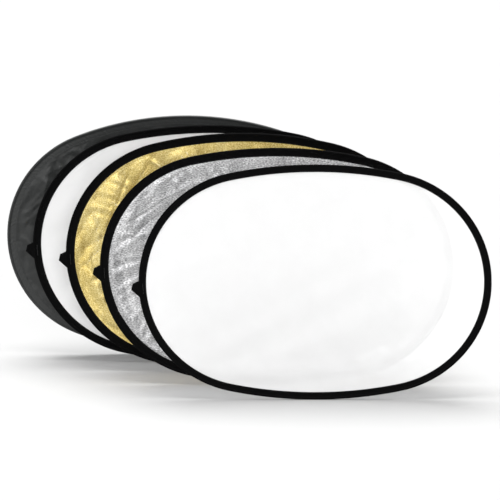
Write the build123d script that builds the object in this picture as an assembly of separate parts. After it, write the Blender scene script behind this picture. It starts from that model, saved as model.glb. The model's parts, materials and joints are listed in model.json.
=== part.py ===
"""A set of five collapsible oval reflector discs, fanned out in a standing row.

Frame: +X along each disc's long axis, +Y from the front disc to the rear one, +Z up.
The origin lies on the floor, under the middle of the whole set. Millimetres.

The front disc, the core, carries a translucent panel. Behind it stand the silver, gold,
white and black discs, each a little larger. Every disc is a flat spring-steel hoop held
in the fold of an edge tape, with a cloth panel sewn between the tape's two legs.
"""
from build123d import *
from dataclasses import dataclass
from math import atan2, cos, degrees, radians, sin
import os

# Section of the edge, as distance in from the outer edge and half thickness there
PANEL_THICKNESS = 1.0
CLOTH = 0.9                  # thickness of one leg of the tape
BEAD_DEPTH = 3.5             # where the tape is thickest, round the hoop
BEAD_HALF = 4.2
LEG_START = 12               # where the two legs close on the panel
NOSE_HALF = 2.4
SHOULDER_INSET, SHOULDER_HALF = 1.0, 3.9
CHANNEL_HALF = 3.1           # of the hoop's channel, just inside the nose

# Hoop and its crimped sleeve
BAND_INSET = 1.4
BAND_THICKNESS = 1.0
BAND_WIDTH = 5.0
BAND_GAP = 1.0               # between the band's two ends, inside the sleeve
SLEEVE_LENGTH = 45
SLEEVE_WALL = 0.4
SLEEVE_PLAY = 0.05

# Pull tab: a folded ribbon at the left end, a little below the middle
TAB_DROP = 24                # of its middle below the long axis
TAB_HALF = 27
TAB_REACH = 25
TAB_THICKNESS = 2.0
TAB_GAP = 1.2                # between the rim and the tab's hinge line
TAB_TAPER = 0.75             # the upper free corner, relative to the reach and half width
TAB_TIP_DROP = 1.35          # of the outermost corner below the tab's middle
TAB_CORNER = 2.5
BARTACK_LENGTH = 40
BARTACK_WIDTH = 3.0
BARTACK_THICKNESS = 0.5
BARTACK_INSET = 15

# The core bends on three lines, which are also the joints between its four strips
BEND_LINES = (-150, 0, 150)
STRIP_NAMES = ("left", "mid_left", "mid_right", "right")


@dataclass
class Disc:
    """One disc: its place left of the core and behind it, its outline, and its folded edge."""
    name: str
    left: float
    back: float
    length: float
    height: float
    end_share: float         # radius of the outline's end arcs, relative to half its height
    tape: float              # width of the edge, as seen from the front
    edge: str = "binding"

    @property
    def end_radius(self):
        return self.end_share * self.height / 2

    @property
    def end_centre(self):
        return self.length / 2 - self.end_radius

    @property
    def side_radius(self):
        half, end, reach = self.height / 2, self.end_radius, self.end_centre
        return (reach**2 + half**2 - end**2) / (2 * (half - end))

    @property
    def plane(self):
        """Local x along +X and local y along +Z, about the disc's centre."""
        return Plane((place_x(self), place_y(self), self.height / 2), (1, 0, 0), (0, -1, 0))


CORE = Disc("core", 0, 0, 1200, 823, 0.948, 26)
SILVER = Disc("silver", 129, 203, 1208, 832, 0.948, 30)
GOLD = Disc("gold", 243, 376, 1215, 842, 0.94, 30)
WHITE = Disc("white", 356, 517, 1217, 836, 0.946, 28)
BLACK = Disc("black", 439, 628, 1231, 843, 0.89, 30, "hem")    # hemmed with its own cloth


def place_x(disc):
    """X of a disc's centre: the set's left and right extremes are the black disc and the core."""
    right_end = CORE.length / 2
    left_end = BLACK.left + BLACK.length / 2
    return (left_end - right_end) / 2 - disc.left


def place_y(disc):
    return disc.back - BLACK.back / 2


def oval_arcs(disc):
    """The four tangent arcs of the outline: centre, radius, start angle and angle turned."""
    rise = disc.side_radius - disc.height / 2
    turn = degrees(atan2(rise, disc.end_centre))
    return (
        ((disc.end_centre, 0), disc.end_radius, -turn, 2 * turn),
        ((0, -rise), disc.side_radius, turn, 180 - 2 * turn),
        ((-disc.end_centre, 0), disc.end_radius, 180 - turn, 2 * turn),
        ((0, rise), disc.side_radius, 180 + turn, 180 - 2 * turn),
    )


def oval_face(disc, inset):
    arcs = [CenterArc(centre, radius - inset, start, turn) for centre, radius, start, turn in oval_arcs(disc)]
    return make_face(Wire([arc.edge() for arc in arcs]))


def turned_section(points, centre, radius, start, turn):
    """A closed section, given as (inset, height off the mid-plane), turned along one arc."""
    along = Vector(cos(radians(start)), sin(radians(start)), 0)
    middle = Vector(*centre, 0)
    corners = [middle + along * (radius - inset) + Vector(0, 0, off) for inset, off in points]
    face = make_face(Polyline(*corners, close=True))
    return revolve(face, Axis(middle, (0, 0, 1)), turn)


def ring(disc, points):
    """The section turned along all four arcs of the outline, as one solid."""
    parts = [turned_section(points, *arc) for arc in oval_arcs(disc)]
    whole = parts[0] + parts[1:]
    return whole.clean()


def tape_section(disc):
    """A strip of tape folded round the hoop, its legs closing on both faces of the panel."""
    gap = PANEL_THICKNESS / 2
    outer = [(0, NOSE_HALF), (SHOULDER_INSET, SHOULDER_HALF), (BEAD_DEPTH, BEAD_HALF),
             (LEG_START, gap + CLOTH), (disc.tape, gap + CLOTH)]
    inner = [(disc.tape, gap), (LEG_START, gap), (BEAD_DEPTH, BEAD_HALF - CLOTH), (CLOTH, CHANNEL_HALF)]
    half = outer + inner
    return half + [(inset, -off) for inset, off in reversed(half)]


def panel(disc):
    """The cloth, which reaches between the tape's legs as far as the hoop's channel."""
    return extrude(oval_face(disc, LEG_START), PANEL_THICKNESS / 2, both=True)


def band_section(inset, thickness, width):
    return [(inset, -width / 2), (inset, width / 2), (inset + thickness, width / 2), (inset + thickness, -width / 2)]


def hoop(disc):
    """The flat spring-steel band, on edge to the panel, open where its ends meet."""
    band = ring(disc, band_section(BAND_INSET, BAND_THICKNESS, BAND_WIDTH))
    return band - Pos(disc.length / 2, 0, 0) * Box(4 * BEAD_DEPTH, BAND_GAP, 2 * BAND_WIDTH)


def hoop_sleeve(disc):
    """A crimped steel tube that joins the band's ends, at the disc's right end."""
    sweep_angle = degrees(SLEEVE_LENGTH / disc.end_radius)
    arc = ((disc.end_centre, 0), disc.end_radius, -sweep_angle / 2, sweep_angle)
    hole_size = (BAND_THICKNESS + 2 * SLEEVE_PLAY, BAND_WIDTH + 2 * SLEEVE_PLAY)
    hole = band_section(BAND_INSET - SLEEVE_PLAY, *hole_size)
    outside_inset = BAND_INSET - SLEEVE_PLAY - SLEEVE_WALL
    outside = band_section(outside_inset, *(size + 2 * SLEEVE_WALL for size in hole_size))
    return turned_section(outside, *arc) - turned_section(hole, *arc)


def tab_plane(disc, off_rim):
    """On the rim below the left end: local x points outward, local y up along the rim."""
    slope = TAB_DROP / disc.end_radius
    outward = Vector(-cos(slope), -sin(slope), 0)
    middle = Vector(-disc.end_centre, 0, 0) + outward * (disc.end_radius + off_rim)
    return Plane(middle, outward, (0, 0, -1))


def pull_tab(disc):
    outline = Polyline((0, TAB_HALF), (TAB_TAPER * TAB_REACH, TAB_TAPER * TAB_HALF),
                       (TAB_REACH, -TAB_TIP_DROP), (0, -TAB_HALF), close=True)
    face = make_face(outline)
    free_corners = face.vertices().sort_by(Axis.X)[2:]
    flap = extrude(fillet(free_corners, TAB_CORNER), TAB_THICKNESS / 2, both=True)
    return tab_plane(disc, TAB_GAP) * flap


def tab_bartack(disc):
    """Two dense bars of stitching, one on each face of the tape, that hold the tab's root."""
    off = PANEL_THICKNESS / 2 + CLOTH + BARTACK_THICKNESS / 2
    bar = Box(BARTACK_WIDTH, BARTACK_LENGTH, BARTACK_THICKNESS)
    root = tab_plane(disc, -BARTACK_INSET)
    return Compound(children=[root * Pos(0, 0, side * off) * bar for side in (-1, 1)])


def strips(shape, disc):
    """The shape cut on the bend lines, from left to right."""
    bounds = (-disc.length, *BEND_LINES, disc.length)
    for left, right in zip(bounds, bounds[1:]):
        width = right - left
        yield shape & Pos((left + right) / 2, 0, 0) * Box(width, 2 * disc.height, 4 * BEAD_HALF)


def save(name, disc, shape):
    solids = [disc.plane * solid for solid in shape.solids()]
    whole = solids[0] if len(solids) == 1 else Compound(children=solids)
    whole.label = name
    export_step(whole, f"parts/{name}.step")


def save_disc(disc, bends=False):
    """The panel, the edge and the hoop, whole or in strips, and the hoop's sleeve."""
    layers = {"panel": panel(disc), disc.edge: ring(disc, tape_section(disc)), "hoop": hoop(disc)}
    for layer, shape in layers.items():
        if bends:
            for strip_name, strip in zip(STRIP_NAMES, strips(shape, disc)):
                save(f"{disc.name}_{layer}_{strip_name}", disc, strip)
        else:
            save(f"{disc.name}_{layer}", disc, shape)
    save(f"{disc.name}_hoop_sleeve", disc, hoop_sleeve(disc))


os.makedirs("parts", exist_ok=True)
save_disc(CORE, bends=True)
for backing in (SILVER, GOLD, WHITE, BLACK):
    save_disc(backing)
for tabbed in (CORE, SILVER, GOLD, WHITE):
    save(f"{tabbed.name}_tab", tabbed, pull_tab(tabbed))
    save(f"{tabbed.name}_tab_bartack", tabbed, tab_bartack(tabbed))
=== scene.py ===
"""The fanned set of five collapsible reflector discs: cloth, edge tape, ribbon and stitches.

Every cloth, tape and ribbon is built about the discs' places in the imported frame. Metres, +Z up,
and each disc's front faces -Y. Surface patterns read UVs laid out in metres on the flat cloth.
"""
import json
import math
from dataclasses import dataclass

import bpy
import numpy as np
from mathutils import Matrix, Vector

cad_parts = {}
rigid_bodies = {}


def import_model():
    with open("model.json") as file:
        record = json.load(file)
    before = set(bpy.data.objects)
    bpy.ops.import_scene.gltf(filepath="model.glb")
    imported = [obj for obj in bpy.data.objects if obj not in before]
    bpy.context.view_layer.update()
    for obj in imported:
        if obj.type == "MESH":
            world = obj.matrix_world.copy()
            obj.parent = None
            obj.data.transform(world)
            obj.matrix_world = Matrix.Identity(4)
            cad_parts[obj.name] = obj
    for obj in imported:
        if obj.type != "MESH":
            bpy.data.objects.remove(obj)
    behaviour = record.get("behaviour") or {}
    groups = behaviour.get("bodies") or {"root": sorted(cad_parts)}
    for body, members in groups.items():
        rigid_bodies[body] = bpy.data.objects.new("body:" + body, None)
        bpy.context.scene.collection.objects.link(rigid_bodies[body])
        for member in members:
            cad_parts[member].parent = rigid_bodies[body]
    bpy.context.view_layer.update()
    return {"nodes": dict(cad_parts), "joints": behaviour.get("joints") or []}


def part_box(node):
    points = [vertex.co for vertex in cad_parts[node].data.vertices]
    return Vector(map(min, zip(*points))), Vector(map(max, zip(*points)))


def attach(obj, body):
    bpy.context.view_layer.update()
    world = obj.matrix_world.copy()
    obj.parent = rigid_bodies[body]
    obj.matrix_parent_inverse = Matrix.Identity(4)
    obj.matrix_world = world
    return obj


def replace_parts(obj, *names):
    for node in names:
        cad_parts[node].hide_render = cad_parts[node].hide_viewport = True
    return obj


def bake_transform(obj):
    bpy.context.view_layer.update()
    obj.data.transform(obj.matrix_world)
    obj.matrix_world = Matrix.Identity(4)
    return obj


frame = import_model()

MM = 0.001

# Each disc's outline and edge: its end arcs' radius, relative to half its height, and its tape's width
END_RADIUS_SHARE = {"core": 0.948, "silver": 0.948, "gold": 0.94, "white": 0.946, "black": 0.89}
TAPE_WIDTH = {"core": 26 * MM, "silver": 30 * MM, "gold": 30 * MM, "white": 28 * MM, "black": 30 * MM}

# Section of the edge, as distance in from the rim and half thickness there
CLOTH = 0.9 * MM
PANEL_GAP = 0.5 * MM
BEAD_DEPTH = 3.6 * MM
BEAD_HALF = 4.2 * MM
LEG_START = 12 * MM
LEG_HALF = PANEL_GAP + CLOTH
TAPE_STEP = 3 * MM           # between two sections of the tape
SEAM_INSET = 3 * MM          # of the stitches from the tape's inner edge

# Cloth panels
PANEL_INSET = 12 * MM
PANEL_THICKNESS = 0.5 * MM
PANEL_COLUMNS, PANEL_ROWS = 121, 81
SIM_FRAMES = 24

# Wavelengths along the rim
TAPE_GATHER_WAVE = 13 * MM
CLOTH_GATHER_WAVE = 26 * MM
FOLD_WAVE = 62 * MM

# Hoop, a flat spring-steel band inside the tape
BAND_INSET = 1.4 * MM
BAND_THICKNESS = 1.0 * MM
BAND_HALF_WIDTH = 2.5 * MM

# Stitches
STITCH_PITCH = 4.5 * MM
STITCH_LENGTH = 3.3 * MM
THREAD = 0.7 * MM
STITCH_SUNK = 0.25 * MM      # below the tape's surface
ZIGZAG_HALF = 1.4 * MM       # of the bar tack's stitches
ZIGZAG_COUNT = 30

# Pull tab: a ribbon folded over the rim, in the tab's own outward and upward directions
TAB_HALF = 27 * MM
TAB_TOP = Vector((18.75 * MM, 20.25 * MM))
TAB_TIP = Vector((25 * MM, -1.35 * MM))
TAB_FOOT = Vector((2 * MM, -25 * MM))
TAB_GAP = 1.2 * MM           # from the rim to the hinge line
TAB_TAIL = 18 * MM           # how far the two plies reach in over the tape
TAB_TAIL_HALF = 21 * MM
RIBBON = 0.6 * MM
BARTACK_INSET = 15 * MM
BARTACK_SHARE = 0.88         # of the tail's width that it crosses
TAB_ROWS = 15                # of points, from its upper side to its lower one

# Studio: a mid-toned floor under a strong narrow top light looks white, yet shades deeply under the discs
FLOOR_TONE = 0.36
SKY_TOP = 0.25
OVERHEAD_POWER, FRONT_POWER = 7.7, 1.4

FLOOR_REACH = 60.0

# The camera, far off with a long lens
LENS = 1200
SENSOR = 36
VIEW_WIDTH = 1.698           # seen across the picture at the core's centre
VIEW_ELEVATION = math.radians(14)
AIM_LEFT, AIM_UP = 0.2211, 0.1094    # from the core's centre to the picture's centre


@dataclass
class Oval:
    """A disc's outline, four tangent arcs in a plane of constant Y, read by its outward direction."""
    name: str
    centre: np.ndarray
    half_length: float
    half_height: float

    def __post_init__(self):
        self.end_radius = END_RADIUS_SHARE[self.name] * self.half_height
        self.end_centre = self.half_length - self.end_radius
        rise = self.half_height - self.end_radius
        self.side_radius = (self.end_centre**2 + self.half_height**2 - self.end_radius**2) / (2 * rise)
        self.side_drop = self.side_radius - self.half_height
        self.turn = math.atan2(self.side_drop, self.end_centre)
        self.tape = TAPE_WIDTH[self.name]

    def point(self, angle, inset=0.0):
        """X and Z, from the centre, of the point whose outward direction is angle."""
        cos, sin = np.cos(angle), np.sin(angle)
        on_end = np.arctan2(np.abs(sin), np.abs(cos)) < self.turn
        radius = np.where(on_end, self.end_radius, self.side_radius) - inset
        x = radius * cos + np.where(on_end, np.sign(cos) * self.end_centre, 0)
        z = radius * sin - np.where(on_end, 0, np.sign(sin) * self.side_drop)
        return x, z

    def knots(self, inset=0.0):
        """The outward directions where one arc meets the next, and the distances along the outline there."""
        turn = self.turn
        angles = np.array([0, turn, math.pi - turn, math.pi + turn, 2 * math.pi - turn, 2 * math.pi])
        radii = np.array([self.end_radius, self.side_radius] * 2 + [self.end_radius]) - inset
        return angles, np.concatenate([[0], np.cumsum(np.diff(angles) * radii)])

    def girth(self, inset=0.0):
        return self.knots(inset)[1][-1]

    def angle(self, distance, inset=0.0):
        """The outward direction at a distance along the outline, from its right end upward."""
        angles, distances = self.knots(inset)
        turns, rest = np.divmod(distance, distances[-1])
        return np.interp(rest, distances, angles) + turns * 2 * math.pi

    def distance(self, angle, inset=0.0):
        angles, distances = self.knots(inset)
        return np.interp(np.mod(angle, 2 * math.pi), angles, distances)

    def edge_point(self, distance, inset, height):
        """The point in the frame at a distance along the outline taken that far in."""
        x, z = self.point(self.angle(distance, inset), inset)
        return self.place(x, height, z)

    def place(self, x, height, z):
        """Points in the frame, from X and Z off the centre and a height off the disc's mid-plane."""
        x, height, z = np.broadcast_arrays(x, height, z)
        return np.stack([self.centre[0] + x, self.centre[1] + height, self.centre[2] + z], axis=-1)


def oval_of(name):
    """The outline of a disc, from the boxes of its edge nodes."""
    nodes = [n for n in frame["nodes"] if n.startswith((f"{name}_binding", f"{name}_hem"))]
    boxes = [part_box(n) for n in nodes]
    low = np.min([b[0] for b in boxes], axis=0)
    high = np.max([b[1] for b in boxes], axis=0)
    return Oval(name, (low + high) / 2, (high[0] - low[0]) / 2, (high[2] - low[2]) / 2)


# ---- Meshes

FRONT, BACK, WALL = 0, 1, 2


@dataclass
class Patch:
    """A mesh of quads as arrays: points, the corners of each quad, and a UV in metres for each corner."""
    points: np.ndarray
    quads: np.ndarray
    uvs: np.ndarray
    normals: np.ndarray = None
    sides: np.ndarray = None

    def __post_init__(self):
        if self.normals is None:
            corners = self.points[self.quads]
            facing = np.cross(corners[:, 2] - corners[:, 0], corners[:, 3] - corners[:, 1])
            self.normals = np.zeros_like(self.points)
            for corner in self.quads.T:
                np.add.at(self.normals, corner, facing)
            self.normals /= np.linalg.norm(self.normals, axis=1, keepdims=True)
        if self.sides is None:
            self.sides = np.full(len(self.quads), FRONT)

    def between(self, low, high):
        """The quads whose middles have an X between low and high."""
        middle = self.points[self.quads][:, :, 0].mean(axis=1)
        keep = (middle >= low) & (middle < high)
        used, quads = np.unique(self.quads[keep], return_inverse=True)
        return Patch(self.points[used], quads.reshape(-1, 4), self.uvs[keep],
                     self.normals[used], self.sides[keep])

    def open_edges(self):
        """Each edge that only one quad has, as its quad, and its two points in that quad's order."""
        starts, ends = self.quads, np.roll(self.quads, -1, axis=1)
        reach = len(self.points)
        forward, backward = starts * reach + ends, ends * reach + starts
        rows, steps = np.nonzero(~np.isin(forward, backward))
        return rows, starts[rows, steps], ends[rows, steps], steps

    def thickened(self, thickness):
        """The closed sheet of that thickness about this surface, with walls round its open edges."""
        count = len(self.points)
        shift = self.normals * thickness / 2
        rows, starts, ends, steps = self.open_edges()
        walls = np.stack([ends, starts, starts + count, ends + count], axis=1)
        start_uvs, end_uvs = self.uvs[rows, steps], self.uvs[rows, (steps + 1) % 4]
        drop = np.array([0, thickness])
        wall_uvs = np.stack([end_uvs, start_uvs, start_uvs + drop, end_uvs + drop], axis=1)
        return Patch(
            np.concatenate([self.points + shift, self.points - shift]),
            np.concatenate([self.quads, self.quads[:, ::-1] + count, walls]),
            np.concatenate([self.uvs, self.uvs[:, ::-1], wall_uvs]),
            np.concatenate([self.normals, -self.normals]),
            np.repeat([FRONT, BACK, WALL], [len(self.quads), len(self.quads), len(walls)]))


def joined(patches):
    offsets = np.cumsum([0] + [len(p.points) for p in patches[:-1]])
    quads = [p.quads + offset for p, offset in zip(patches, offsets)]
    return Patch(np.concatenate([p.points for p in patches]), np.concatenate(quads),
                 np.concatenate([p.uvs for p in patches]))


def make_piece(name, patch, *materials):
    """The object of a patch; a second material is for its back, and its walls are shaded flat."""
    mesh = bpy.data.meshes.new(name)
    mesh.from_pydata(patch.points.tolist(), [], patch.quads.tolist())
    layer = mesh.uv_layers.new(name="flat")
    layer.data.foreach_set("uv", patch.uvs.astype(np.float32).ravel())
    mesh.polygons.foreach_set("use_smooth", patch.sides != WALL)
    loop_edges = np.empty(len(mesh.loops), int)
    mesh.loops.foreach_get("edge_index", loop_edges)
    sharp = np.zeros(len(mesh.edges), bool)
    sharp[loop_edges.reshape(-1, 4)[patch.sides == WALL]] = True
    mesh.edges.foreach_set("use_edge_sharp", sharp)
    for material in materials:
        mesh.materials.append(material)
    mesh.polygons.foreach_set("material_index", np.where(patch.sides == FRONT, 0, len(materials) - 1))
    mesh.update()
    piece = bpy.data.objects.new(name, mesh)
    bpy.context.scene.collection.objects.link(piece)
    return piece


def strip_quads(count, width, closed_ring=False, closed_strip=False):
    """Corners of the quads of count rings of width points each, with each quad's ring and step."""
    rings = np.arange(count if closed_ring else count - 1)
    steps = np.arange(width if closed_strip else width - 1)
    i, j = (a.ravel() for a in np.meshgrid(rings, steps, indexing="ij"))
    here, after = i * width, (i + 1) % count * width
    after_j = (j + 1) % width
    return np.stack([here + j, here + after_j, after + after_j, after + j], axis=1), i, j


def quad_uvs(i, j, ring_step, across):
    """UVs of strip quads: so far along the rings, and the across value of each point of a ring."""
    u = np.stack([i, i, i + 1, i + 1], axis=1) * ring_step
    v = across[np.stack([j, j + 1, j + 1, j], axis=1)]
    return np.stack([u, v], axis=2)


def swept(oval, distances, insets, heights, across):
    """A section of (inset, height) pairs, one row of them per distance, swept round the outline."""
    x, z = oval.point(oval.angle(distances)[:, None], insets)
    quads, i, j = strip_quads(*insets.shape, closed_ring=True)
    return Patch(oval.place(x, heights, z).reshape(-1, 3), quads, quad_uvs(i, j, distances[1], across))


def smoothstep(low, high, value):
    t = np.clip((value - low) / (high - low), 0, 1)
    return t * t * (3 - 2 * t)


def ripple(position, wavelength, seed):
    """A wandering wave of about that wavelength along a position, between -1 and 1, the same each run."""
    draw = np.random.default_rng(seed)
    value = np.zeros_like(position)
    for share in (0.62, 0.83, 1.0, 1.21, 1.57):
        value += np.sin(2 * math.pi * (position / (wavelength * share) + draw.random()))
    return value / 5


# ---- Edge tape


def tape_patch(oval, puckers, seed):
    """Middle surface of the tape: from its front edge over the rounded bead at the rim to its back edge."""
    count = round(oval.girth() / TAPE_STEP)
    distances = np.arange(count) * oval.girth() / count
    nose, bead_middle, leg_middle = CLOTH / 2, BEAD_HALF - CLOTH / 2, PANEL_GAP + CLOTH / 2
    turn = np.linspace(0, math.pi / 2, 7)
    inset = np.concatenate([nose + (BEAD_DEPTH - nose) * (1 - np.cos(turn)),
                            np.linspace(BEAD_DEPTH, LEG_START, 6)[1:],
                            np.linspace(LEG_START, oval.tape, 8)[1:]])
    bead = bead_middle * np.concatenate([np.sin(turn), np.ones(len(inset) - len(turn))])
    half = bead + (leg_middle - bead_middle) * smoothstep(BEAD_DEPTH, LEG_START, inset)

    dimple = 0.3 * MM * np.exp(-((inset - oval.tape + SEAM_INSET) / (1.5 * MM)) ** 2)
    gather = puckers * np.exp(-((inset - 0.55 * oval.tape) / (0.3 * oval.tape)) ** 2)
    position = distances[:, None] + 0.8 * inset
    front, back = (half - dimple + gather * ripple(position, TAPE_GATHER_WAVE, seed + side)
                   for side in (0, 1))
    insets = np.concatenate([inset[::-1], inset[1:]])
    heights = np.concatenate([-front[:, ::-1], back[:, 1:]], axis=1)
    across = np.concatenate([[0], np.cumsum(np.hypot(np.diff(insets), np.diff(heights[0])))])
    return swept(oval, distances, np.tile(insets, (count, 1)), heights, across)


# ---- Hoop of the core


def band_patch(oval):
    """Middle surface of the flat spring band on edge in the tape."""
    count = round(oval.girth() / (2 * TAPE_STEP))
    distances = np.arange(count) * oval.girth() / count
    heights = BAND_HALF_WIDTH * np.array([-1.0, 1.0])
    insets = np.full((count, 2), BAND_INSET + BAND_THICKNESS / 2)
    return swept(oval, distances, insets, np.tile(heights, (count, 1)), heights)


# ---- Stitches


def thread_patch(starts, ends, outward):
    """One short capsule of thread for each start and end, lying on a surface that faces outward."""
    along = ends - starts
    aside = np.cross(along, outward)
    aside *= (THREAD / 2) / np.linalg.norm(aside, axis=1, keepdims=True)
    lift = np.broadcast_to(np.array(outward) * THREAD / 2, aside.shape)
    rings = [[starts + along * share + size * turn for turn in (aside, -lift, -aside, lift)]
             for share, size in ((0, 0.25), (0.18, 1), (0.82, 1), (1, 0.25))]
    points = np.array(rings).transpose(2, 0, 1, 3)
    body, i, j = strip_quads(4, 4, closed_strip=True)
    quads = np.concatenate([body, [[3, 2, 1, 0], [12, 13, 14, 15]]])
    body_uvs = quad_uvs(i, j, STITCH_LENGTH / 3, THREAD * np.arange(5))
    uvs = np.concatenate([body_uvs, body_uvs[:2]])
    every = (np.arange(len(starts)) * 16)[:, None, None] + quads
    return Patch(points.reshape(-1, 3), every.reshape(-1, 4), np.tile(uvs, (len(starts), 1, 1)))


def seam_patch(oval, low=-math.inf, high=math.inf):
    """A row of stitches on each face, near the tape's inner edge, whose X is between low and high."""
    inset = oval.tape - SEAM_INSET
    girth = oval.girth(inset)
    count = round(girth / STITCH_PITCH)
    distances = np.arange(count) * girth / count
    rows = []
    for side in (-1, 1):
        height = side * (LEG_HALF - STITCH_SUNK)
        starts, ends = (oval.edge_point(distances + shift, inset, height) for shift in (0, STITCH_LENGTH))
        keep = (starts[:, 0] >= low) & (starts[:, 0] < high)
        rows.append(thread_patch(starts[keep], ends[keep], (0, side, 0)))
    return joined(rows)


# ---- Cloth panels


def panel_grid(oval):
    """Directions and shares of the radius of a square grid wrapped onto the oval."""
    u, v = np.meshgrid(np.linspace(-1, 1, PANEL_COLUMNS), np.linspace(-1, 1, PANEL_ROWS))
    x, z = u * np.sqrt(1 - v * v / 2), v * np.sqrt(1 - u * u / 2)
    share = np.hypot(x, z)
    turn = np.arctan2(z, x)
    angle = np.arctan2(oval.half_length * np.sin(turn), oval.half_height * np.cos(turn))
    return angle.ravel(), share.ravel()


def flat_panel(oval):
    angle, share = panel_grid(oval)
    x, z = oval.point(angle, PANEL_INSET)
    quads, _, _ = strip_quads(PANEL_ROWS, PANEL_COLUMNS)
    points = oval.place(x * share, 0, z * share)
    uvs = np.stack([x * share, z * share], axis=1)[quads]
    return Patch(points, quads, uvs)


def depth_inside(oval, points):
    """Distance in from the outline, and the outward direction there, for points on the panel."""
    x, z = points[:, 0] - oval.centre[0], points[:, 2] - oval.centre[2]
    beyond = np.abs(x) - oval.end_centre
    to_end = oval.end_radius - np.hypot(beyond, z)
    side_z = np.abs(z) + oval.side_drop
    to_side = oval.side_radius - np.hypot(x, side_z)
    on_end = np.arctan2(np.abs(z), beyond) < oval.turn
    end_angle = np.arctan2(z, np.sign(x) * beyond)
    side_angle = np.arctan2(np.sign(z) * side_z, x)
    return np.where(on_end, to_end, to_side), np.where(on_end, end_angle, side_angle)


def freed(oval, points):
    """0 under the tape, rising to 1 a little way into the open cloth."""
    depth, _ = depth_inside(oval, points)
    return smoothstep(oval.tape - 2 * MM, oval.tape + 55 * MM, depth)


def settle(piece, oval, slack, sag):
    """Cloth simulation of a panel cut a little too large for its hoop, which settles into folds."""
    points = points_of(piece)
    depth, _ = depth_inside(oval, points)
    rim = piece.vertex_groups.new(name="rim")
    rim.add(np.flatnonzero(depth < oval.tape + 3 * MM).tolist(), 1.0, "REPLACE")
    cloth = piece.modifiers.new("slack", "CLOTH")
    settings = cloth.settings
    settings.vertex_group_mass = "rim"
    settings.shrink_min = -slack
    settings.quality = 5
    settings.mass = 0.02
    settings.tension_stiffness = settings.compression_stiffness = 30
    settings.shear_stiffness = 15
    settings.bending_stiffness = 0.08
    settings.air_damping = 4
    settings.effector_weights.gravity = sag
    cloth.point_cache.frame_end = SIM_FRAMES
    for number in range(1, SIM_FRAMES + 1):
        bpy.context.scene.frame_set(number)
    apply_modifiers(piece)
    bpy.context.scene.frame_set(1)


def apply_modifiers(piece):
    evaluated = piece.evaluated_get(bpy.context.evaluated_depsgraph_get())
    finished = bpy.data.meshes.new_from_object(evaluated)
    piece.modifiers.clear()
    piece.data = finished


def points_of(piece):
    points = np.empty(len(piece.data.vertices) * 3)
    piece.data.vertices.foreach_get("co", points)
    return points.reshape(-1, 3)


def patch_of(piece):
    """The arrays of a piece whose faces are all quads."""
    mesh = piece.data
    quads = np.empty(len(mesh.loops), int)
    mesh.loops.foreach_get("vertex_index", quads)
    uvs = np.empty(len(mesh.loops) * 2)
    mesh.uv_layers["flat"].data.foreach_get("uv", uvs)
    return Patch(points_of(piece), quads.reshape(-1, 4), uvs.reshape(-1, 4, 2))


def creases(oval, points, count, depth, seed):
    """Lasting creases from being coiled for storage: sharp, slightly bowed, mostly diagonal lines."""
    draw = np.random.default_rng(seed)
    x, z = points[:, 0] - oval.centre[0], points[:, 2] - oval.centre[2]
    height = np.zeros(len(points))
    for _ in range(count):
        turn, share = draw.uniform(0, 2 * math.pi), draw.uniform(0.1, 1) ** 0.35
        start_x = share * oval.half_length * math.cos(turn)
        start_z = share * oval.half_height * math.sin(turn)
        lean = draw.choice([-1, 1]) * draw.uniform(math.radians(25), math.radians(75))
        along = (x - start_x) * math.cos(lean) + (z - start_z) * math.sin(lean)
        across = (z - start_z) * math.cos(lean) - (x - start_x) * math.sin(lean)
        reach = draw.uniform(0.05, 0.17)
        bow = draw.uniform(-1.2, 1.2) * along**2
        width = draw.uniform(4, 10) * MM
        size = draw.choice([-1, 1]) * draw.uniform(0.4, 1.2) * depth
        height += size * np.exp(-np.abs(across - bow) / width) * np.exp(-((along / reach) ** 2))
    return height


def rim_folds(oval, points, size, wavelength, seed):
    """Soft folds that run in from the tape, a little askew, and fade towards the middle."""
    depth, angle = depth_inside(oval, points)
    along = oval.distance(angle)
    reach = 90 * MM * (1 + 0.5 * ripple(along, 0.31, seed + 1))
    fade = np.exp(-np.maximum(depth - oval.tape, 0) / reach)
    strength = np.clip(0.35 + ripple(along, 0.37, seed + 2), 0, 1)
    return size * fade * strength * ripple(along + 0.45 * depth, wavelength, seed)


def puckered(oval, points, size, wavelength, seed):
    """Small radial gathers where the cloth runs under the tape's seam."""
    depth, angle = depth_inside(oval, points)
    along = oval.distance(angle)
    from_seam = depth - oval.tape
    fade = np.exp(-np.maximum(from_seam, 0) / (22 * MM)) * smoothstep(-3 * MM, 3 * MM, from_seam)
    return size * fade * ripple(along, wavelength, seed)


def cloth_panel(oval, seed, slack, billow, crease_count, crease_depth, folds, gathers):
    """One panel: simulated slack, one subdivision, then creases and the gathers along the seam."""
    piece = make_piece(f"{oval.name}_cut", flat_panel(oval))
    start = points_of(piece)
    free = freed(oval, start)
    x, z = start[:, 0] - oval.centre[0], start[:, 2] - oval.centre[2]
    dome = 1 - (x / oval.half_length) ** 2 - (z / oval.half_height) ** 2
    lumps = ripple(x + 0.6 * z, 0.23, seed) + ripple(z - 0.5 * x, 0.19, seed + 1)
    start[:, 1] += free * (2.5 * MM * lumps - billow * np.clip(dome, 0, 1))
    piece.data.vertices.foreach_set("co", start.ravel())
    if slack:
        settle(piece, oval, slack, 0.35)
    piece.modifiers.new("finer", "SUBSURF").levels = 1
    apply_modifiers(piece)
    patch = patch_of(piece)
    free = freed(oval, patch.points)
    patch.points[:, 1] += free * (creases(oval, patch.points, crease_count, crease_depth, seed + 2)
                                  + rim_folds(oval, patch.points, folds, FOLD_WAVE, seed + 4))
    patch.points[:, 1] += puckered(oval, patch.points, gathers, CLOTH_GATHER_WAVE, seed + 3)
    bpy.data.objects.remove(piece)
    return patch


# ---- Pull tabs


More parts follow.
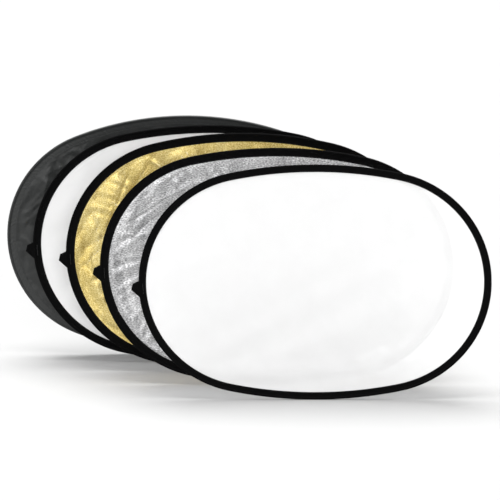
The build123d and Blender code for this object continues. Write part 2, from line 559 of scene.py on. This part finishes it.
def tab_frame(joint):
    """A pull tab's root on the rim, and its outward and upward directions, from its hinge."""
    up = Vector(joint["axis"]).normalized()
    outward = up.cross(Vector((0, 1, 0)))
    root = Vector(joint["pos_m"]) - outward * TAB_GAP
    return root, outward, up


def tab_patch(joint):
    """Middle surface of the ribbon: from the front of the tape, over the rim, out to its fold and back."""
    root, outward, up = tab_frame(joint)
    on_tape, on_bead, on_fold = LEG_HALF + RIBBON / 2, BEAD_HALF + RIBBON / 2, 0.6 * RIBBON
    tail = np.linspace(-TAB_TAIL, 0, 9)
    tail_heights = on_tape + (on_bead - on_tape) * smoothstep(-LEG_START, -BEAD_DEPTH, tail)
    flap = np.linspace(0, 1, 12)[1:]
    flap_heights = on_fold + (on_bead - on_fold) * (1 - smoothstep(0, 0.5, flap))
    flap_heights[-1] = 0
    points = []
    for share in np.linspace(0, 1, TAB_ROWS):
        side = TAB_HALF * (1 - 2 * share)
        edge = TAB_TOP.lerp(TAB_TIP, 2 * share) if share < 0.5 else TAB_TIP.lerp(TAB_FOOT, 2 * share - 1)
        narrowed = side * (1 + (1 - TAB_TAIL_HALF / TAB_HALF) * tail / TAB_TAIL)
        front = [*zip(tail, narrowed, tail_heights),
                 *zip(edge.x * flap, side + (edge.y - side) * flap, flap_heights)]
        back = [(out, aside, -height) for out, aside, height in front[-2::-1]]
        points += [root + outward * out + up * aside + Vector((0, -height, 0))
                   for out, aside, height in front + back]
    width = len(front) + len(back)
    quads, i, j = strip_quads(TAB_ROWS, width)
    row_step = 2 * TAB_HALF / (TAB_ROWS - 1)
    return Patch(np.array(points), quads, quad_uvs(i, j, row_step, np.arange(width) * 4 * MM))


def bartack_patch(joint):
    """A dense zigzag of thread across the ribbon's root, on both faces."""
    root, outward, up = (np.array(v) for v in tab_frame(joint))
    corners = np.arange(ZIGZAG_COUNT + 1)
    sides = np.linspace(-BARTACK_SHARE, BARTACK_SHARE, ZIGZAG_COUNT + 1) * TAB_TAIL_HALF
    zigzag = np.where(corners % 2, -1, 1) * ZIGZAG_HALF - BARTACK_INSET
    faces = []
    for face in (-1, 1):
        height = face * (LEG_HALF + RIBBON + 0.2 * MM)
        line = root + zigzag[:, None] * outward + sides[:, None] * up + np.array([0, height, 0])
        faces.append(thread_patch(line[:-1], line[1:], (0, face, 0)))
    return joined(faces)


# ---- Materials


class Surface:
    """A material's node tree: one Principled shader, with textures that read the flat UVs in metres."""

    def __init__(self, name, **values):
        self.material = bpy.data.materials.new(name)
        self.material.use_nodes = True
        self.nodes, self.links = self.material.node_tree.nodes, self.material.node_tree.links
        self.shader = self.nodes["Principled BSDF"]
        for socket, value in values.items():
            self.shader.inputs[socket.replace("_", " ")].default_value = value
        self.flat = self.add("ShaderNodeUVMap", uv_map="flat").outputs[0]

    def add(self, kind, inputs=None, **settings):
        node = self.nodes.new(kind)
        for key, value in settings.items():
            setattr(node, key, value)
        for key, value in (inputs or {}).items():
            if isinstance(value, bpy.types.NodeSocket):
                self.links.new(value, node.inputs[key])
            else:
                node.inputs[key].default_value = value
        return node

    def turned(self, angle, stretch=1.0):
        mapping = {"Vector": self.flat, "Rotation": (0, 0, angle), "Scale": (1, stretch, 1)}
        return self.add("ShaderNodeMapping", mapping).outputs[0]

    def threads(self, period, angle=0.0, wander=0.0):
        """Parallel ribs of that period, 0 to 1 across each."""
        values = {"Vector": self.turned(angle), "Scale": math.pi / 10 / period, "Distortion": wander,
                  "Detail": 1.0, "Detail Scale": 0.6}
        return self.add("ShaderNodeTexWave", values).outputs["Fac"]

    def noise(self, size, detail=2.0, angle=0.0, stretch=1.0):
        values = {"Vector": self.turned(angle, stretch), "Scale": 1 / size, "Detail": detail,
                  "Roughness": 0.6}
        return self.add("ShaderNodeTexNoise", values).outputs["Fac"]

    def maths(self, operation, *values):
        return self.add("ShaderNodeMath", dict(enumerate(values)), operation=operation).outputs[0]

    def ramp(self, value, stops):
        node = self.add("ShaderNodeValToRGB", {"Fac": value})
        while len(node.color_ramp.elements) < len(stops):
            node.color_ramp.elements.new(0.5)
        for element, (position, colour) in zip(node.color_ramp.elements, stops):
            element.position, element.color = position, (*colour, 1)
        return node.outputs["Color"]

    def bump(self, *layers):
        """Bump layers, each (height output, distance in metres), one on top of the other."""
        normal = None
        for height, distance in layers:
            values = {"Height": height, "Strength": 1.0, "Distance": distance}
            if normal:
                values["Normal"] = normal
            normal = self.add("ShaderNodeBump", values).outputs[0]
        self.links.new(normal, self.shader.inputs["Normal"])

    def colour(self, output):
        self.links.new(output, self.shader.inputs["Base Color"])

    def roughness(self, low, high, output):
        values = {"Value": output, "To Min": low, "To Max": high}
        self.links.new(self.add("ShaderNodeMapRange", values).outputs[0], self.shader.inputs["Roughness"])


def woven(surface, period, depth):
    """A plain weave: ribs both ways, each as deep as depth."""
    across, down = surface.threads(period), surface.threads(period, math.pi / 2)
    weave = surface.maths("MULTIPLY", across, down)
    return weave, depth


def metallised(name, dark, middle, light, dash, lean):
    """Metal-coated knit, with painted glints on its short dashes and painted light and shade where crumpled.
    """
    surface = Surface(name, Metallic=1.0)
    dashes = surface.noise(dash, detail=1, angle=lean, stretch=dash / (3.6 * MM))
    loops = (surface.threads(1.7 * MM, turn) for turn in (lean, lean + math.pi / 2))
    knit = surface.maths("MULTIPLY", *loops)
    crumple = surface.noise(60 * MM, detail=2, angle=math.radians(52), stretch=0.3)
    wander = surface.noise(75 * MM, detail=1.5, angle=math.radians(-50), stretch=0.3)
    wrinkle = surface.maths("ABSOLUTE", surface.maths("SUBTRACT", wander, 0.5))
    # Base colour: the dashes' share is painted glints, the crumple share is painted light and shade of the
    # crumples.
    shares = surface.maths("MULTIPLY", dashes, 0.75), surface.maths("MULTIPLY", crumple, 0.25)
    tone = surface.maths("ADD", *shares)
    surface.colour(surface.ramp(tone, ((0.3, dark), (0.5, middle), (0.7, light))))
    surface.roughness(0.42, 0.52, dashes)
    surface.bump((wrinkle, 5 * MM), (crumple, 3 * MM), (dashes, 0.35 * MM), (knit, 0.05 * MM))
    return surface.material


def plain_cloth(name, colour, shade):
    """A matte woven cloth whose tone wanders slightly."""
    surface = Surface(name, Roughness=0.85)
    wander = surface.noise(40 * MM, detail=4)
    surface.colour(surface.ramp(wander, ((0.3, shade), (0.7, colour))))
    surface.bump((surface.noise(9 * MM, detail=3), 0.12 * MM), woven(surface, 1.1 * MM, 0.1 * MM))
    return surface.material


def translucent_cloth():
    """Sheer diffusion cloth: it glows with the light behind it and lets a little through unscattered."""
    surface = Surface("sheer_white", Roughness=0.8, Alpha=0.6)
    surface.shader.inputs["Specular IOR Level"].default_value = 0.2
    wander = surface.noise(60 * MM, detail=3)
    surface.colour(surface.ramp(wander, ((0.3, (0.955, 0.955, 0.955)), (0.7, (0.975, 0.975, 0.975)))))
    surface.bump((surface.noise(30 * MM), 0.1 * MM), woven(surface, 0.9 * MM, 0.05 * MM))
    glow = surface.add("ShaderNodeBsdfTranslucent", {"Color": (0.96, 0.96, 0.96, 1)}).outputs[0]
    mix = surface.add("ShaderNodeMixShader", {0: 0.12, 1: surface.shader.outputs[0], 2: glow})
    surface.links.new(mix.outputs[0], surface.nodes["Material Output"].inputs["Surface"])
    return surface.material


def black_nylon():
    """Tight charcoal nylon, faintly shiny where it is creased."""
    surface = Surface("black_nylon")
    surface.shader.inputs["Specular IOR Level"].default_value = 0.45
    wander = surface.noise(70 * MM, detail=5)
    surface.colour(surface.ramp(wander, ((0.3, (0.010, 0.0115, 0.011)), (0.7, (0.015, 0.0165, 0.016)))))
    surface.roughness(0.34, 0.46, wander)
    crumple = surface.noise(14 * MM, detail=4, angle=0.7, stretch=0.4)
    surface.bump((crumple, 0.5 * MM), woven(surface, 0.8 * MM, 0.06 * MM))
    return surface.material


def ribbed(name, period, angle, tone, roughness):
    """Black woven tape or ribbon, ribbed across or diagonally, a little dusty on its ribs."""
    surface = Surface(name, Roughness=roughness)
    surface.shader.inputs["Specular IOR Level"].default_value = 0.04
    ribs = surface.threads(period, angle)
    dust = surface.noise(18 * MM, detail=4)
    light = tuple(1.9 * c for c in tone)
    surface.colour(surface.ramp(surface.maths("MULTIPLY", ribs, dust), ((0.1, tone), (0.7, light))))
    surface.bump((dust, 0.1 * MM), (ribs, 0.12 * MM))
    return surface.material


def thread_material(name, tone):
    surface = Surface(name, Roughness=0.5)
    twist = surface.threads(0.5 * MM, math.radians(35))
    surface.colour(surface.ramp(twist, ((0.2, tone), (0.9, tuple(2.5 * c for c in tone)))))
    surface.bump((twist, 0.06 * MM))
    return surface.material


def steel(name, tone, roughness):
    """Brushed steel; CAD meshes have no UVs, so its streaks follow the object's own coordinates."""
    surface = Surface(name, Metallic=1.0)
    place = surface.add("ShaderNodeTexCoord").outputs["Object"]
    stretched = surface.add("ShaderNodeMapping", {"Vector": place, "Scale": (40, 3000, 40)}).outputs[0]
    values = {"Vector": stretched, "Scale": 1.0, "Detail": 3.0}
    streaks = surface.add("ShaderNodeTexNoise", values).outputs["Fac"]
    surface.colour(surface.ramp(streaks, ((0.3, tuple(0.7 * c for c in tone)), (0.7, tone))))
    surface.roughness(roughness - 0.08, roughness + 0.08, streaks)
    surface.bump((streaks, 0.02 * MM))
    return surface.material


TAPE = ribbed("tape_weave", 1.3 * MM, 0.0, (0.0016, 0.0016, 0.0017), 0.75)
RIBBON_WEAVE = ribbed("ribbon_weave", 1.1 * MM, math.radians(45), (0.0014, 0.0014, 0.0015), 0.7)
BLACK_THREAD = thread_material("black_thread", (0.004, 0.004, 0.004))
CHARCOAL_THREAD = thread_material("charcoal_thread", (0.02, 0.021, 0.021))
SPRING_STEEL = steel("blued_band", (0.42, 0.43, 0.46), 0.35)
SLEEVE_STEEL = steel("crimped_tube", (0.6, 0.6, 0.61), 0.3)
# The knits' dark and light tones are painted shade and painted glints, spread by the metallised ramp.
SILVER_FRONT = metallised("silver_knit", (0.14, 0.14, 0.142), (0.45, 0.45, 0.455), (0.88, 0.88, 0.88),
                          dash=7 * MM, lean=0.12)
GOLD_FRONT = metallised("gold_knit", (0.36, 0.24, 0.045), (0.67, 0.53, 0.19), (0.95, 0.86, 0.5),
                        dash=4.5 * MM, lean=0.6)
SILVER_BACK = plain_cloth("silver_reverse", (0.78, 0.78, 0.78), (0.72, 0.72, 0.72))
GOLD_BACK = plain_cloth("gold_reverse", (0.8, 0.79, 0.77), (0.74, 0.73, 0.71))
WHITE_CLOTH = plain_cloth("white_weave", (0.78, 0.78, 0.78), (0.765, 0.765, 0.765))
CORE_CLOTH = translucent_cloth()
BLACK_CLOTH = black_nylon()


# ---- The discs


def core_bends():
    """The core's three bend joints, from left to right."""
    found = [j for j in frame["joints"] if j["name"].startswith("core_bend")]
    return sorted(found, key=lambda j: j["pos_m"][0])


def core_parts():
    """For each bend of the core: its joint, the X where its part begins and ends, and its CAD strips."""
    bends = core_bends()
    lines = [joint["pos_m"][0] for joint in bends]
    cuts = [-math.inf, *((a + b) / 2 for a, b in zip(lines, lines[1:])), math.inf]
    return zip(bends, cuts, cuts[1:], (("left",), ("mid_left", "mid_right"), ("right",)))


def bent(piece):
    """Bakes a part of the core's placing into its mesh."""
    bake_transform(piece)
    return piece


def build_core(oval):
    tape, band = tape_patch(oval, 0.2 * MM, 11), band_patch(oval)
    cloth = cloth_panel(oval, 21, slack=0.0, billow=0.0, crease_count=5, crease_depth=0.3 * MM,
                        folds=0.2 * MM, gathers=0.25 * MM)
    for joint, low, high, strips in core_parts():
        place = joint["name"].removeprefix("core_bend_")
        layers = (("tape", tape, CLOTH, TAPE, "edge_tape", "binding"),
                  ("band", band, BAND_THICKNESS, SPRING_STEEL, "spring_steel", "hoop"),
                  ("cloth", cloth, PANEL_THICKNESS, CORE_CLOTH, "translucent_cloth", "panel"))
        for layer, patch, thickness, material, slot, node in layers:
            part = patch.between(low, high)
            piece = make_piece(f"core_{layer}_{place}", part.thickened(thickness), material)
            bent(piece)
            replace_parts(piece, *(f"core_{node}_{strip}" for strip in strips))
        bent(make_piece(f"core_seam_{place}", seam_patch(oval, low, high), BLACK_THREAD))


def build_backing(oval, look, slot, seed, edge=None, **cloth_values):
    """A disc that pulls out whole; edge is the look, slot, node, thread and gathers of its edging."""
    body = f"{oval.name}_disc"
    edge_look, edge_slot, edge_node, thread, edge_gathers = edge or (
        TAPE, "edge_tape", "binding", BLACK_THREAD, 0.2 * MM)
    tape = make_piece(f"{oval.name}_tape", tape_patch(oval, edge_gathers, seed).thickened(CLOTH), edge_look)
    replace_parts(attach(tape, body), f"{oval.name}_{edge_node}")
    seam = make_piece(f"{oval.name}_seam", seam_patch(oval), thread)
    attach(seam, body)
    cloth = cloth_panel(oval, seed, **cloth_values)
    piece = make_piece(f"{oval.name}_cloth", cloth.thickened(PANEL_THICKNESS), *look)
    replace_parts(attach(piece, body), f"{oval.name}_panel")


def build_tab(joint):
    name = joint["child"].removesuffix("_tab")
    tab = make_piece(f"{name}_ribbon_tab", tab_patch(joint).thickened(RIBBON), RIBBON_WEAVE)
    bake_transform(tab)
    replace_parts(tab, joint["child"])
    tack = make_piece(f"{name}_zigzag_tack", bartack_patch(joint), BLACK_THREAD)
    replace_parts(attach(tack, joint["parent"]), f"{name}_tab_bartack")


def finish_steel():
    """The hoops and sleeves inside the tapes stay as CAD made them."""
    for name, node in frame["nodes"].items():
        if "hoop" in name:
            node.data.materials.clear()
            node.data.materials.append(SLEEVE_STEEL if name.endswith("sleeve") else SPRING_STEEL)


build_core(oval_of("core"))
build_backing(oval_of("silver"), (SILVER_FRONT, SILVER_BACK), "silver_cloth", 31,
              slack=0.006, billow=-18 * MM, crease_count=110, crease_depth=4 * MM,
              folds=11 * MM, gathers=0.7 * MM)
build_backing(oval_of("gold"), (GOLD_FRONT, GOLD_BACK), "gold_cloth", 41,
              slack=0.006, billow=8 * MM, crease_count=110, crease_depth=4.5 * MM,
              folds=9 * MM, gathers=0.7 * MM)
build_backing(oval_of("white"), (WHITE_CLOTH,), "white_cloth", 51,
              slack=0.0, billow=2 * MM, crease_count=6, crease_depth=0.4 * MM,
              folds=0.3 * MM, gathers=0.3 * MM)
build_backing(oval_of("black"), (BLACK_CLOTH,), "black_cloth", 61,
              edge=(BLACK_CLOTH, "black_cloth", "hem", CHARCOAL_THREAD, 0.55 * MM),
              slack=0.005, billow=4 * MM, crease_count=130, crease_depth=4.5 * MM,
              folds=6 * MM, gathers=0.9 * MM)
for tab_joint in (j for j in frame["joints"] if j["name"].endswith("_tab_flap")):
    build_tab(tab_joint)
finish_steel()


# ---- Studio


def make_floor():
    mesh = bpy.data.meshes.new("floor")
    corners = [(x * FLOOR_REACH, y * FLOOR_REACH, 0) for x, y in ((-1, -1), (1, -1), (1, 1), (-1, 1))]
    mesh.from_pydata(corners, [], [(0, 1, 2, 3)])
    floor = bpy.data.objects.new("floor", mesh)
    bpy.context.scene.collection.objects.link(floor)
    paint = bpy.data.materials.new("floor")
    paint.use_nodes = True
    shader = paint.node_tree.nodes["Principled BSDF"]
    shader.inputs["Base Color"].default_value = (FLOOR_TONE, FLOOR_TONE, FLOOR_TONE, 1)
    shader.inputs["Roughness"].default_value = 1.0
    shader.inputs["Specular IOR Level"].default_value = 0.0
    mesh.materials.append(paint)


def light_sky():
    """A bright horizon under a dimmer sky."""
    world = bpy.data.worlds.new("studio")
    bpy.context.scene.world = world
    world.use_nodes = True
    nodes, links = world.node_tree.nodes, world.node_tree.links
    place = nodes.new("ShaderNodeTexCoord")
    split = nodes.new("ShaderNodeSeparateXYZ")
    ramp = nodes.new("ShaderNodeValToRGB")
    low, high = ramp.color_ramp.elements
    low.position, low.color = 0.06, (1, 1, 1, 1)
    high.position, high.color = 0.35, (SKY_TOP, SKY_TOP, SKY_TOP, 1)
    links.new(place.outputs["Generated"], split.inputs[0])
    links.new(split.outputs["Z"], ramp.inputs["Fac"])
    links.new(ramp.outputs["Color"], nodes["Background"].inputs["Color"])


def add_lamp(name, energy, spread, tilt, turn):
    """A broad lamp that shines down, moved towards the rear by tilt and towards the right by -turn."""
    lamp = bpy.data.lights.new(name, "SUN")
    lamp.energy, lamp.angle = energy, math.radians(spread)
    holder = bpy.data.objects.new(name, lamp)
    holder.rotation_euler = (math.radians(-tilt), math.radians(turn), 0)
    bpy.context.scene.collection.objects.link(holder)


def make_camera(core):
    data = bpy.data.cameras.new("camera")
    data.lens, data.sensor_width = LENS, SENSOR
    distance = VIEW_WIDTH * LENS / SENSOR
    back = Vector((0, -math.cos(VIEW_ELEVATION), math.sin(VIEW_ELEVATION)))
    up = Vector((0, math.sin(VIEW_ELEVATION), math.cos(VIEW_ELEVATION)))
    aim = Vector(core.centre) + Vector((-AIM_LEFT, 0, 0)) + up * AIM_UP
    data.clip_start, data.clip_end = 0.1 * distance, 3 * distance
    camera = bpy.data.objects.new("camera", data)
    camera.location = aim + back * distance
    camera.rotation_euler = (math.pi / 2 - VIEW_ELEVATION, 0, 0)
    bpy.context.scene.collection.objects.link(camera)
    bpy.context.scene.camera = camera


make_floor()
light_sky()
add_lamp("overhead", OVERHEAD_POWER, 55, tilt=7, turn=-6)
add_lamp("front", FRONT_POWER, 40, tilt=-70, turn=0)
make_camera(oval_of("core"))
bpy.context.scene.view_settings.view_transform = "Standard"
